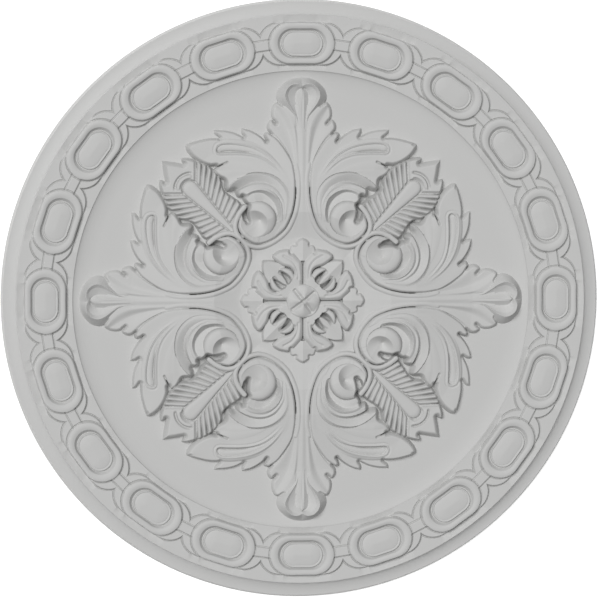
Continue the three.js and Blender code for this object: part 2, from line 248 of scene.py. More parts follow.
# Carved flower, on the carver's drawing of one eighth. The leaf's axis is x = 0 and the
# palmette's axis is the diagonal. Heights are above the field.
LEAF_COUNT = 4
EIGHTH = math.pi / LEAF_COUNT
LEAF_LEVEL = [(0, 8.2), (44, 8.2), (50, 9.4), (62, 12), (80, 11), (100, 7.6), (120, 4.4),
              (140, 3), (160, 2.6)]
PALMETTE_LEVEL = [(0, 9), (60, 9.8), (80, 8.6), (100, 6.8), (120, 5.4), (140, 5.2)]
MOUND_LEVEL = [(0, 8.2), (44, 8.2), (58, 9.4), (64, 7), (70, 1.6), (84, 0.8), (96, 0)]
DIP_SLOPE = 0.16
DIP_HALF_WIDTH = 9
DIP_ENDS = (38, 46, 58, 64)
EDGE_ROUNDING = 0.85
STROKE_FADE = 0.08

# Groove that parts the scrolled leaf from the stem, the edge of the leaf that goes on from
# the groove's end, and the thin rim on the groove's other side. The groove and the rim run
# from the notch by the eye, under the scroll and up the stem.
GROOVE = [(42.3, 61.4), (44.4, 57), (45.3, 51.6), (43.2, 46.8), (40, 43.4), (36, 40.8),
          (31, 39.5), (26, 40.4), (21, 42.6), (15.8, 46.6), (12, 50.6), (9.2, 56), (7.1, 62),
          (5.5, 70), (5, 78), (5, 86), (6.2, 94)]
LEAF_LINE = [(6.2, 94), (8, 98.6), (10.6, 103.2), (13.8, 108), (18, 113), (24.6, 117.4)]
RIM = [(40.9, 65.4), (44.4, 61), (46.8, 55.6), (47.2, 50.6), (45.2, 45.6), (41.4, 41.4),
       (36.8, 38.6), (31, 37.4), (25.6, 38.3), (20, 40.9), (14.2, 45.2), (10, 50), (7.2, 55.6),
       (5, 62), (3.4, 70), (2.8, 78), (2.9, 87), (4.4, 95)]
RIM_RISE = [0.8, 1.4, 1.6, 1.4, 1.2, 1, 1, 0.9]
RIM_HALF_WIDTH = 1.7
RIM_FOOT = 0.2

# Leaf between the tip and the scroll: midrib, second and third lobes
LOBE_RAILS = [
    ([(0, 40), (0, 60), (0, 92), (0, 110), (0, 124)], [0, 0.3, 0.7, 1.2, 1.6, 2], 0),
    ([(3.4, 40), (2.4, 60), (2.4, 92), (2.8, 105), (3.2, 114), (4, 121)],
     [0, 0.2, 0.4, 0.6, 0.9, 1.2], 0),
    ([(5, 40), (3, 60), (3, 80), (3.6, 92), (4.2, 104), (4.8, 114), (6, 122), (9.2, 129),
      (13.4, 134), (17.4, 137.6)],
     [0, 0.2, 0.4, 1, 2.2, 2.2], 0),
    ([(6.5, 40), (3.4, 60), (3.6, 80), (4.8, 92), (6.6, 104), (8.6, 113), (11, 120),
      (13.6, 125.4), (16.6, 130.4), (18.6, 134)],
     [0, 0.2, 0.2, 0, -0.4, 0.4], 0),
    ([(9.5, 40), (4.2, 60), (4.5, 80), (5.9, 92), (8.8, 101), (12, 107.6), (16, 113.6),
      (20, 118.6), (22, 123.4)],
     [0, 0.2, 0.1, 0.2, 0.5, 0.8], 0),
    ([(11, 40), (4.6, 60), (5, 80), (6.2, 94), (8, 98.6), (10.6, 103.2), (13.8, 108), (18, 113),
      (24.6, 117.4)],
     [0, 0, -0.4, -0.8, -0.9, -0.6], 0),
]
LOBE_EDGES = [
    (2.6, None, [(13, 136.4), (16.4, 138), (18.8, 137.4), (20.9, 133.8), (21.4, 129), (20, 125.4),
                 (17.8, 123.2)]),
    (2.6, None, [(17.8, 123.2), (20, 125.6), (22.2, 125.6), (24.2, 122.6), (24.2, 119),
                 (21.8, 115.8)]),
]
LOBE_CLOSING = [(18, 104), (12, 92), (7.6, 92), (6, 86), (4.6, 78), (4.8, 66), (8, 55),
                (13, 46.6), (20, 41.6), (-0.01, 41.6), (-0.01, 136)]

# Scrolled leaf from the groove to its teeth: raised edge, soft valley, fluted ridge and lower lobe
SCROLL_LEAF_RAILS = [
    ([(42, 60), (43.6, 55.6), (43.7, 51), (42, 47.4), (39, 44.2), (35.4, 42.2), (31, 41.4),
      (22.4, 44.4), (17.6, 48), (14, 51.2), (10.8, 56), (8.6, 62), (6.8, 70), (6.3, 78),
      (6.4, 86), (7.4, 94), (9.6, 99.4), (12.2, 104), (15.2, 108.6), (19.4, 113.4), (24.6, 116.6)],
     [2, 2, 2.4, 2.6, 2.6, 2.3, 2.2, 2.2, 2.1, 1.9, 1.7], 0),
    ([(15, 53.4), (11.6, 60), (9.8, 68), (9.2, 76), (9.4, 84), (11, 90), (13.4, 93.8), (17, 98.4),
      (22.4, 103.4), (28.4, 108), (35, 111), (42, 112.6), (50, 113.2), (57, 113)],
     [2.2, 2.2, 2, 1.7, 1.1, 0.7, 0.8], 0),
    ([(16.6, 54), (13, 60), (11.4, 68), (11, 76), (11.4, 83.4), (13, 88.6), (15.6, 93),
      (19, 97.4), (24, 102), (30, 106), (36, 108.8), (43, 110.6), (50, 111.4), (58, 111),
      (66, 110), (74, 109), (79, 108.6)],
     [2.2, 2.2, 2.1, 2, 2.2, 2.4, 2.4, 2.6, 3.4], 0),
    ([(19, 55), (16, 62), (14, 70), (13.4, 78), (14.6, 85), (19, 92), (25, 97.2), (31, 100.1),
      (38, 101.6), (48, 102), (58, 101.6), (66, 101.6), (73, 103.6), (77.6, 107)],
     [2.2, 2.2, 2.1, 2, 2.2, 2.4, 2.2, 2.6, 3.6], 0),
    ([(24, 57), (20, 66), (18, 76), (20.4, 86), (30, 92.6), (40, 96.2), (51, 97.6), (60, 95.4)],
     [2.2, 2.2, 2, 1.8, 1.9, 2, 2.4], 0.2),
    ([(28, 58), (25, 68), (24, 78), (28, 87.4), (36, 90.4), (46, 91.4), (54, 90.6), (61, 90.6)],
     [2.2, 2.1, 1.8, 1.6, 1.9, 1.8, 0.8], 0.1),
    ([(32, 60), (30, 70), (30, 80), (33, 87.4), (44, 86.4), (54, 84.6)],
     [2, 1.8, 1.6, 1.2, 0.9], 0),
]
SCROLL_LEAF_EDGES = [
    (1.8, 2.8, GROOVE),
    (1.4, 2.4, LEAF_LINE),
    (2.6, None, [(24.6, 117.4), (26.6, 116), (26, 113), (24.6, 110.9)]),
    (1.6, None, [(24.6, 110.9), (30, 115.4), (36, 118.6), (42, 120)]),
    (2.8, None, [(42, 120), (42.2, 116.8), (40.4, 113.8)]),
    (1.6, None, [(40.4, 113.8), (46.6, 116.8), (53.4, 118.4), (61.6, 118.8)]),
    (2.8, None, [(61.6, 118.8), (60.8, 115.8), (57.4, 113.2)]),
    (1.8, None, [(57.4, 113.2), (64.6, 113), (71.6, 111.6), (79, 109.4)]),
    (3.4, None, [(79, 109.4), (81, 108), (80.4, 104.4), (76.4, 99.4), (70.4, 95.4), (64.4, 93.4),
                 (60, 93.6)]),
    (1.4, 2.5, [(60, 93.6), (56.4, 94.8), (52.4, 96.5)]),
    (0.9, 2.5, [(52.4, 96.5), (55.4, 95), (59, 93), (62.6, 91)]),
    (3.2, None, [(62.6, 91), (61.2, 88), (58.2, 85.6), (54.6, 83.6), (54.2, 80.8), (54.2, 78)]),
    (3.8, None, [(54.2, 78), (52.4, 75.8), (49.6, 75.6), (47, 76.4)]),
    (3.6, None, [(47, 76.4), (46.6, 74), (45, 71.8), (43, 71.6), (41.6, 72.4)]),
    (3, None, [(41.6, 72.4), (41.2, 69.6), (39.8, 67.6), (38.2, 66.4)]),
    (3, None, [(38.2, 66.4), (39.2, 63), (39, 59), (38, 55)]),
    (1.4, None, [(38, 55), (40.6, 56.6), (42.3, 61.4)]),
]
CRESCENT_RAILS = [
    ([(10.4, 60), (9.6, 66), (9.5, 72), (11, 78), (14.3, 83), (19.5, 87), (25, 89), (32, 89.7),
      (38, 88.8), (44, 86), (49, 82.4), (54, 77.6)],
     [2.1, 1.8, 1, 0.3, 0.2, 0.2, 0.2, 0.2], 0),
    ([(11.8, 60), (11, 66), (11, 72), (12.6, 77), (15.8, 81.6), (20.5, 85.3), (26, 87.6),
      (33, 88.5), (39.6, 87.6), (45, 84.8), (49.4, 81.4), (53, 77)],
     [2.1, 2.2, 2.5, 2.6, 2.6, 2.5, 2.3], 0.3),
    ([(12.8, 60), (12.6, 66), (13.4, 70.4), (15.6, 74.6), (18.8, 78.8), (23.4, 81.6), (29, 82.9),
      (35, 82.4), (41, 79.8), (46, 77)],
     [2.1, 2, 1.2, 0.3, -0.8, -2.2, -3.4, -4.6], 0),
    ([(13.6, 60), (13.6, 66), (14.4, 69.6), (16.4, 73.4), (19.8, 77.4), (24.4, 80.2),
      (29.4, 81.2), (35, 80.8), (40.6, 79), (45.6, 76.4)],
     [2.1, 2.2, 2.3, 2.3, 2.2, 2, 1.6], 0),
    ([(14.4, 60), (14.4, 66), (15.4, 69), (17.6, 73), (20.8, 76.2), (24.6, 78.5), (28.4, 79.3),
      (33, 79), (38, 77.4), (43, 74)],
     [2.1, 2, 1.5, 1.3, 1.5, 2, 1.8], 0.2),
    ([(17, 53), (15.4, 60), (15.7, 66), (17.4, 71), (22, 75.2), (28, 77.4), (33, 77.2),
      (37, 75.8), (40.2, 73.6), (41, 69)],
     [2.2, 2.8, 3.2, 3.2, 3, 2.8, 2.4], 0),
    ([(19, 54), (17.8, 60), (18.4, 65), (20.8, 69.4), (24.4, 73), (28.6, 75.2), (33, 75.4),
      (36.6, 74.2), (39.4, 71.6)],
     [0.2, -2.4, -3, -2.8, -2, -0.2, 0.8], 0),
    ([(20, 55), (19.4, 60), (20.4, 64.6), (23, 68.4), (27.4, 71.2), (32, 71.8), (36.4, 70.4),
      (38.4, 67.8)],
     [-0.6, -2.6, -2.6, -1.8, 0.2, 1.2], 0),
]
CRESCENT_CLOSING = [(60, 72), (42, 61), (40, 50), (26, 50), (19, 54), (12.6, 57)]
FLUTE_EDGE = [
    [(12, 86), (14.6, 90), (19, 96), (24, 101), (30, 104.9), (36, 107.4), (43, 109), (50, 109.7),
     (56, 109.4), (59.2, 108)],
    [(59.2, 108), (60.2, 105.6), (59.6, 103.4), (57.8, 102.7)],
    [(57.8, 102.7), (48, 103), (38, 102.5), (31, 100.9), (25, 98), (19, 93.2), (14.6, 88.4),
     (12, 86)],
]
FLUTE_BEAD = [(12.6, 87), (16.6, 92.2), (22, 97.9), (28, 102), (34, 104.6), (41, 106.3),
              (48, 107), (54, 107), (57.4, 106.4)]
FLUTE_DEEP = [0.5, 1.8, 2.6, 2.8, 2.8]
FLUTE_WALL = 0.9
FLUTE_START = 0.25
BEAD_HALF_WIDTH = [0.8, 1.4, 2.2, 2.6, 2.8]
BEAD_SHARE = 0.75
LIP_RIDGE = (0.5, 0.7, 0.5)
LIP_GROOVE = (1.9, 0.9, 0.35)

# Eye of the scroll: a ball with a dish cut in it. Ball and dish are given by centre and
# radius, and the ball's crest and foot by their mean and their swing, highest at an angle.
EYE_BALL = (31.2, 57.0, 12.6)
EYE_CREST = (3.4, 1.3)
EYE_FOOT = (0.5, -1.5)
EYE_HIGH_SIDE = 135
EYE_ROUNDING = 7
EYE_DISH = (34.4, 53.6, 9.7)
EYE_DEEPEST = (29.8, 56.4)
EYE_BOTTOM = -4

# Rolled tip of the leaf, from the midrib out to its edge
TIP_RAILS = [
    ([(0, 116), (0, 134), (0, 147.6)], [1.8, 3, 5], 0),
    ([(1, 117), (1.2, 129), (1.3, 138), (1.2, 144), (0.8, 146.6), (0, 147.8)],
     [1.7, 2.8, 4, 4.4], 0),
    ([(2.4, 120), (3.2, 128), (4.2, 136), (4.6, 141), (4.2, 144.6), (2.4, 147), (0, 148)],
     [1.3, 1.2, 1, 1, 3], 0),
    ([(2.8, 122), (3.4, 127.6), (6.2, 133), (8.6, 138), (9.8, 142.4), (9, 146.2), (6.4, 148.7),
      (3, 149), (0, 148.3)],
     [1.4, 2.6, 3.6, 4.4, 4.6], 0),
    ([(3, 123.6), (4, 128.4), (7.2, 133.2), (10.4, 137.8), (12.2, 142.6), (11, 147), (7.8, 150.2),
      (3.4, 151), (0, 149.6)],
     [1.6, 4, 6.4, 7.2, 6], 0.3),
    ([(4.8, 123), (8.6, 129.4), (12.6, 133.4), (15.6, 136.4), (17.2, 139.4), (17.6, 142.8),
      (16, 147.4), (13, 150.8), (9.6, 153.4), (5, 155.4), (0, 156.2)],
     [-1.4, -2, -2.6, -2.8], 0),
]
TIP_EDGES = [
    (0.3, None, [(4.8, 123), (8.6, 129.4), (12.6, 133.4), (15.6, 136.4), (17.2, 139.4),
                 (17.6, 142.8), (16, 147.4), (13, 150.8), (9.6, 153.4), (5, 155.4), (-0.01, 156.2)]),
]
TIP_CLOSING = [(-0.01, 116), (2, 118)]

# Palmette, in its own coordinates: t across the axis and s along it from the middle
REED_PITCH = 3.5
REED_FIRST = 73.4
REED_LAST = 105.2
REED_SLOPE = 0.24
REED_FANNING = 0.0222
REED_RISE = 2.3
REED_ROUNDING = 2.2
REED_END = (10, 17)
REED_END_DROP = 2.6
SMOOTH_END_RUN = 2.6
TONGUE_HALF = [(56, 0.4), (66, 0.8), (72, 1.4), (80, 2.3), (90, 3.2), (100, 4.3), (108, 5.2),
               (110.5, 5.3)]
TONGUE_HEAD = 110.5
TONGUE_RISE = [(56, 0.4), (70, 1.2), (90, 2.2), (112, 2.6)]
TONGUE_ROUNDING = 4
TONGUE_SINK = 0.2
TONGUE_GROOVE = [(56, 0.4), (72, 0.9), (90, 1.2), (112, 1.4)]
TONGUE_GROOVE_SHARE = 0.4
TONGUE_GROOVE_WIDTH = 1.6
COLLAR = (6.6, 9.4, 12.4)
COLLAR_WALLS = (1.4, 1.2)
COLLAR_FOOT = 1.2
COLLAR_RISE = 1.8
COLLAR_FALL = 3
COLLAR_ARC = (35, 50)
PALMETTE_EDGES = [
    (1.2, 3, [(2.4, 67.8), (6.2, 71.4), (11.6, 73.4), (17.4, 74.6)]),
    (2.0, None, [(17.4, 74.6), (18, 80), (17.2, 85), (16.2, 90), (16.6, 94.6), (20, 100),
                 (21, 106), (20.4, 113), (17.8, 120)]),
    (2.4, None, [(17.8, 120), (14.4, 126.2), (11, 129.4), (9.6, 128.6), (8.8, 126)]),
    (3.8, None, [(8.8, 126), (5, 131.4), (-0.01, 138)]),
]
PALMETTE_CLOSING = [(-0.01, 60), (2.4, 60)]


def level_at(table, x, y):
    """Height of the ground that carving stands on, from a table by distance from the middle."""
    return np.interp(np.hypot(x, y), *zip(*table))


def leaf_level(x, y):
    return level_at(LEAF_LEVEL, x, y)


def carve_palmette(relief):
    """Reeds that fan out from a round-headed tongue, with a collar and a pointed end."""
    own = Relief((relief.y - relief.x) * math.sqrt(0.5), (relief.x + relief.y) * math.sqrt(0.5))
    own.z = relief.z

    def surface(t, s):
        level = level_at(PALMETTE_LEVEL, t, s)
        foot = (s - t * (REED_SLOPE - REED_FANNING * REED_FIRST)) / (1 + REED_FANNING * t)
        share = (foot - REED_FIRST) / REED_PITCH
        reeded = foot < REED_LAST
        ridge = 1 - np.abs(2 * (share - np.floor(share)) - 1) ** REED_ROUNDING
        beyond_reeds = smooth(0, SMOOTH_END_RUN, foot - REED_LAST)
        z = level + np.where(reeded, REED_RISE * ridge, REED_RISE * beyond_reeds)
        z -= (1 - ridge) * REED_END_DROP * smooth(*REED_END, t) * reeded

        head = np.hypot(t, s - TONGUE_HEAD)
        inner, outer, beyond = COLLAR
        rising, falling = COLLAR_WALLS
        ahead = smooth(*COLLAR_ARC, np.degrees(np.arctan2(s - TONGUE_HEAD, t)))
        collar = level + COLLAR_FOOT + COLLAR_RISE * smooth(inner, inner + rising, head)
        collar -= COLLAR_FALL * smooth(outer, outer + falling, head)
        fading = 1 - smooth(outer + falling, beyond, head)
        z = np.where(head < beyond, z + (collar - z) * ahead * fading, z)

        past_head = s > TONGUE_HEAD
        off = np.where(past_head, head, t)
        half = np.where(past_head, TONGUE_HALF[-1][1], np.interp(s, *zip(*TONGUE_HALF)))
        groove = np.interp(s, *zip(*TONGUE_GROOVE))
        deep = z - level + groove * TONGUE_GROOVE_SHARE
        z = z - deep * (1 - smooth(0, TONGUE_GROOVE_WIDTH, off - half))
        rise = np.interp(s, *zip(*TONGUE_RISE))
        round_top = np.sqrt(np.clip(1 - (off / half) ** TONGUE_ROUNDING, 0, 1))
        dome = level - TONGUE_SINK + rise * round_top
        return np.where(off / half < 1, dome, z)

    own.region(PALMETTE_EDGES, PALMETTE_CLOSING, surface)
    relief.z = own.z


def carve_leaf(relief):
    relief.region(LOBE_EDGES, LOBE_CLOSING,
                  lambda x, y: leaf_level(x, y) + fan(LOBE_RAILS, x, y, soft=True))
    relief.ridge(RIM, RIM_RISE, RIM_HALF_WIDTH, leaf_level, RIM_FOOT)


def scroll_surface(x, y):
    """The scrolled leaf: its upper face with the flute, then the crescents and the eye."""
    level = leaf_level(x, y)
    z = fan(SCROLL_LEAF_RAILS, x, y, soft=True)
    z = z - flute_depth(x, y)
    within = inside(np.vstack([spline(CRESCENT_RAILS[0][0]), CRESCENT_CLOSING]), x, y)
    z = np.where(within, fan(CRESCENT_RAILS, x, y), z)
    cx, cy, radius = EYE_BALL
    out = np.hypot(x - cx, y - cy) / radius
    swing = np.cos(np.arctan2(y - cy, x - cx) - math.radians(EYE_HIGH_SIDE))
    crest = EYE_CREST[0] + EYE_CREST[1] * swing
    foot = EYE_FOOT[0] + EYE_FOOT[1] * swing
    ball = foot + (crest - foot) * np.sqrt(np.clip(1 - out ** EYE_ROUNDING, 0, 1))
    dx, dy, reach = EYE_DISH
    bx, by = EYE_DEEPEST
    far = np.hypot(x - bx, y - by)
    ux, uy = (x - bx) / np.maximum(far, TINY), (y - by) / np.maximum(far, TINY)
    dot = (bx - dx) * ux + (by - dy) * uy
    rim = -dot + np.sqrt(np.maximum(dot ** 2 - (bx - dx) ** 2 - (by - dy) ** 2 + reach ** 2, 0))
    share = far / rim
    dish = EYE_BOTTOM + (crest - EYE_BOTTOM) * np.clip(share, 0, 2)
    eye = np.minimum(ball, dish)
    return level + np.where(out < 1, eye, z)


def flute_depth(x, y):
    """Depth of the long flute, with a bead lying in it, and of the thin lip and groove round it.
    The lip's depth is below 0, as it stands up."""
    spans = [spline(span) for span in FLUTE_EDGE]
    edge = np.min([nearest(span, x, y)[0] for span in spans], axis=0)
    within = inside(np.vstack(spans), x, y)
    off, along, _ = nearest(spline(FLUTE_BEAD), x, y)
    deep = stations(FLUTE_DEEP, along)
    half = stations(BEAD_HALF_WIDTH, along)
    bead = np.sqrt(np.clip(1 - (off / half) ** 2, 0, 1))
    hollow = deep * np.clip(edge / FLUTE_WALL, 0, 1) - BEAD_SHARE * deep * bead
    lip = np.zeros(x.shape)
    for sign, (place, half_width, amount) in ((-1, LIP_RIDGE), (1, LIP_GROOVE)):
        lip += sign * amount * np.clip(1 - np.abs(edge - place) / half_width, 0, 1)
    return np.where(within, np.maximum(hollow, 0), lip * smooth(0, FLUTE_START, along))


def carve_scroll(relief):
    relief.region(SCROLL_LEAF_EDGES, (), scroll_surface)


# Rosette in the middle: four curled petals with a pointed tongue between their curls, four
# small leaves behind them and a bud
ROSETTE_LEVEL = 8.4
PETAL_TOP = 7.2
PETAL_FALL = (0.004, 0.006)
PETAL_MIDDLE = (8, 20)
CURL_TOP = 6.4
CURL_FALL = 0.06
CURL_ROUNDING = 1.4
CURL_MIDDLE = (12, 19.4)
TONGUE_TOP = 5.4
TONGUE_FALL = 0.26
SMALL_LEAF_TOP = 4.6
SMALL_LEAF_FALL = (0.3, 0.05)
SMALL_LEAF_HIGH = 34
PETAL_EDGES = [
    (3.4, 3.4, [(0.1, 11), (0.1, 20), (0.6, 26.4), (3.4, 30), (6.8, 33.6)]),
    (2.2, 5, [(6.8, 33.6), (8.4, 33.2), (9.8, 35.8), (13.6, 35.6), (17.4, 34.6), (20.8, 32.4)]),
    (2.4, 3, [(20.8, 32.4), (20.8, 29.8), (17.8, 27), (13.8, 24.6), (9.4, 23.2), (6.8, 20.8),
              (6.2, 18)]),
]
PETAL_CLOSING = [(7.6, 15.4), (9, 12.6), (11.4, 11.3), (7.6, 7.5)]
CURL_EDGES = [
    (1.4, 2, [(6, 15.4), (6.4, 18.6), (8.4, 21.6), (12, 23), (15.6, 22.6), (17, 20.8)]),
    (1.8, 3, [(17, 20.8), (14, 19.6), (11, 17.6), (9, 15), (9, 12)]),
]
CURL_CLOSING = [(5, 12)]
TONGUE_EDGES = [
    (1.2, 3, [(10.4, 11.6), (11.4, 14.2), (13.4, 17.4), (15, 21)]),
    (0.1, 0, [(15, 21), (12.4, 24), (17.6, 28.6)]),
    (2.4, None, [(17.6, 28.6), (22.6, 29.6), (29, 29)]),
]
TONGUE_CLOSING = [(29, 28.9), (8, 7.9)]
CURL_HOLLOW = [(17, 21.4), (12.8, 18.9), (9.4, 15.8), (8.8, 12.6)]
CURL_HOLLOW_CUT = [-1.2, -3.6, -3.6, -1.6]
CURL_HOLLOW_REACH = (2.4, 1)
CURL_HOLLOW_CURVE = 0.9
PETAL_VEIN = [(3.4, 14), (4.4, 22), (8, 28), (15, 32)]
PETAL_VEIN_CUT = -0.9
PETAL_VEIN_REACH = (1.6, 1.2)
SMALL_LEAF_EDGES = [
    (2, 4, [(-0.01, 43.8), (2.4, 43), (5, 41), (4.9, 38.8)]),
    (2, 4, [(4.9, 38.8), (7, 39.2), (9, 38), (10.2, 34)]),
]
SMALL_LEAF_CLOSING = [(4, 28), (-0.01, 28)]
BUD_RADIUS = 11.7
BUD_EDGE = 14.4
BUD_CROWN = 19.4
BUD_ROUNDING = 2.4
BUD_SUNK = 1
BUD_CUTS = 38
BUD_CUT_DEPTH = 2.2
BUD_CUT_HALF_WIDTH = 1.7
BUD_CUT_END = 2.5
BUD_DIP = 1.6
BUD_DIP_ENDS = (1, 5, 2)


def carve_rosette(relief):
    def small_leaf(x, y):
        across, along = SMALL_LEAF_FALL
        return ROSETTE_LEVEL + SMALL_LEAF_TOP - along * np.abs(y - SMALL_LEAF_HIGH) - across * x

    def tongue(x, y):
        return ROSETTE_LEVEL + TONGUE_TOP - TONGUE_FALL * np.abs(y - x)

    def curl(x, y):
        out = np.hypot(x - CURL_MIDDLE[0], y - CURL_MIDDLE[1])
        return ROSETTE_LEVEL + CURL_TOP - CURL_FALL * out ** CURL_ROUNDING

    def petal(x, y):
        across, along = PETAL_FALL
        top = ROSETTE_LEVEL + PETAL_TOP - along * (y - PETAL_MIDDLE[1]) ** 2
        return top - across * (x - PETAL_MIDDLE[0]) ** 2

    relief.region(SMALL_LEAF_EDGES, SMALL_LEAF_CLOSING, small_leaf)
    relief.region(TONGUE_EDGES, TONGUE_CLOSING, tongue)
    relief.region(CURL_EDGES, CURL_CLOSING, curl)
    relief.region(PETAL_EDGES, PETAL_CLOSING, petal)
    relief.stroke(CURL_HOLLOW, CURL_HOLLOW_CUT, CURL_HOLLOW_REACH, CURL_HOLLOW_CURVE)
    relief.stroke(PETAL_VEIN, PETAL_VEIN_CUT, PETAL_VEIN_REACH)


def bud_relief(x, y):
    """The bud: a dome cut crosswise, that dips along the cuts into four swollen quarters."""
    r = np.hypot(x, y)
    dome = np.sqrt(np.clip(1 - (r / BUD_RADIUS) ** BUD_ROUNDING, 0, 1))
    z = BUD_EDGE + (BUD_CROWN - BUD_EDGE) * dome
    for angle in (BUD_CUTS, BUD_CUTS + 90):
        c, s = math.cos(math.radians(angle)), math.sin(math.radians(angle))
        across = np.abs(y * c - x * s)
        along = np.abs(x * c + y * s)
        cut = BUD_CUT_DEPTH * np.clip(1 - across / BUD_CUT_HALF_WIDTH, 0, 1)
        z -= cut * smooth(BUD_RADIUS, BUD_RADIUS - BUD_CUT_END, along)
    swell = np.sin(2 * (np.arctan2(y, x) - math.radians(BUD_CUTS))) ** 2
    start, full, end = BUD_DIP_ENDS
    inner, outer = smooth(start, full, r), smooth(BUD_RADIUS, BUD_RADIUS - end, r)
    return z - BUD_DIP * (1 - swell) * inner * outer


def flower_relief(x, y):
    """The whole flower but the bud. The ground dips where two leaves' scrolls meet."""
    relief = Relief(x, y)
    relief.z = level_at(MOUND_LEVEL, x, y)
    aside = np.abs(y - x) * math.sqrt(0.5)
    start, full, fading, end = DIP_ENDS
    r = np.hypot(x, y)
    dip = DIP_SLOPE * np.clip(DIP_HALF_WIDTH - aside, 0, DIP_HALF_WIDTH)
    relief.z -= dip * smooth(start, full, r) * smooth(end, fading, r)
    carve_palmette(relief)
    carve_leaf(relief)
    carve_scroll(relief)
    relief.region(TIP_EDGES, TIP_CLOSING, lambda x, y: leaf_level(x, y) + fan(TIP_RAILS, x, y))
    carve_rosette(relief)
    return relief.z


def cove(r, low, high, low_height, high_height):
    """Hollow quarter curve between two radii, steepest at the high end."""
    share = np.clip((r - low) / (high - low), 0, 1)
    return low_height + (high_height - low_height) * (1 - np.sqrt(np.clip(1 - share ** 2, 0, 1)))


def turned_height(r):
    """Height of the turned body under the carving."""
    z = np.full(r.shape, FIELD_HEIGHT)
    z = np.where(r > FIELD_EDGE, cove(r, FIELD_EDGE, INNER_LIST, FIELD_HEIGHT, LIST_HEIGHT), z)
    z = np.where(r > INNER_LIST, LIST_HEIGHT, z)
    rim = cove(RIM_TOP + OUTER_LIST - r, OUTER_LIST, RIM_TOP, RIM_EDGE_HEIGHT, LIST_HEIGHT)
    return np.where(r > OUTER_LIST, rim, z)


def stadium(x, y, half_length, half_width):
    """How far inside an oval with round ends a point lies; below 0 it is outside."""
    past = np.maximum(np.abs(x) - (half_length - half_width), 0)
    return half_width - np.hypot(past, y)


def stepped_up(z, share, height, wall):
    """Raises a surface to a height where share is above 0, up a wall, from a quirk at its foot."""
    quirk = QUIRK_DEPTH * np.clip(1 - np.abs(share + QUIRK_OFFSET) / (QUIRK_WIDTH / 2), 0, 1)
    z = z - np.where(share < QUIRK_OFFSET, quirk, 0)
    risen = z + (height - z) * np.clip(share / wall, 0, 1)
    return np.where(share > 0, np.maximum(z, risen), z)


def ring_relief(x, y):
    """Height of the linked ovals above the back. x runs along the ring at an oval's middle,
    and y outwards from the ring's middle line. The gaps to the next ovals lie half a unit off."""
    r = np.hypot(x, y + RING_RADIUS)
    angle = np.arctan2(x, y + RING_RADIUS)
    z = turned_height(r)
    steps = [stadium((angle - centre) * RING_RADIUS, r - RING_RADIUS, *STEP)
             for centre in (0, 2 * HALF_UNIT)]
    z = stepped_up(z, np.maximum(*steps), STEP_HEIGHT, STEP_WALL)
    cosine, sine = math.cos(HALF_UNIT), math.sin(HALF_UNIT)
    mid_along = x * cosine - (y + RING_RADIUS) * sine
    mid_across = x * sine + (y + RING_RADIUS) * cosine - RING_RADIUS
    on_strap = np.abs(mid_along) < STRAP_HALF_LENGTH
    strap = np.where(on_strap, STRAP_HALF_WIDTH - np.abs(mid_across), -FAR)
    z = stepped_up(z, strap, STRAP_HEIGHT, STRAP_WALL)
    band = stadium(x, y, *BAND)
    z = stepped_up(z, band, BAND_HEIGHT, BAND_WALL)
    inside_band = stadium(x, y, *BAND_INSIDE)
    across = np.clip(band / np.maximum(band - inside_band, TINY), 0, 1)
    z = np.where(band > 0, z + BAND_SWELL * np.sin(across * math.pi) * (inside_band < 0), z)
    stone = stadium(x, y, *CABOCHON)
    share = np.clip(inside_band / np.maximum(inside_band - stone, TINY), 0, 1)
    z = np.where(inside_band > 0, np.interp(share, *zip(*HOLLOW_PROFILE)), z)
    lip_end = CABOCHON_LIP[1]
    crown = CABOCHON_RIM - CABOCHON_LIP_DROP * smooth(*CABOCHON_LIP, stone)
    crown = crown + CABOCHON_CROWN * np.sqrt(np.clip((stone - lip_end) / CABOCHON_SHOULDER, 0, 1))
    return np.where(stone > 0, crown, z)


def mesh_object(name, points, faces):
    """Object of a mesh whose points are in millimetres."""
    mesh = bpy.data.meshes.new(name)
    mesh.from_pydata((np.asarray(points) / 1000).tolist(), [], faces)
    mesh.update()
    made = bpy.data.objects.new(name, mesh)
    bpy.context.scene.collection.objects.link(made)
    return made


def eighth_of_flower():
    """Relief of one eighth out to the inner list, as a mesh thinned where it is plain."""
    rows = FLOWER_ROWS
    i = np.repeat(np.arange(rows + 1), np.arange(1, rows + 2))
    first = np.cumsum(np.r_[0, np.arange(1, rows + 1)])
    j = np.arange(len(i)) - first[i]
    r = INNER_LIST * i / rows
    angle = EIGHTH * j / np.maximum(i, 1)
    x, y = r * np.sin(angle), r * np.cos(angle)
    z = np.maximum(turned_height(r), FIELD_HEIGHT + flower_relief(x, y))
    faces = []
    for row in range(rows):
        a, b = int(first[row]), int(first[row + 1])
        for k in range(row + 1):
            faces.append((a + k, b + k, b + k + 1))
            if k < row:
                faces.append((a + k, b + k + 1, a + k + 1))
    made = mesh_object("flower_eighth", np.column_stack([x, y, z]), faces)
    thinned = made.modifiers.new("Thin", "DECIMATE")
    thinned.ratio = min(1, EIGHTH_TRIANGLES / len(faces))
    return made


def apply_modifiers(obj):
    graph = bpy.context.evaluated_depsgraph_get()
    mesh = bpy.data.meshes.new_from_object(obj.evaluated_get(graph))
    old = obj.data
    obj.modifiers.clear()
    obj.data = mesh
    bpy.data.meshes.remove(old)


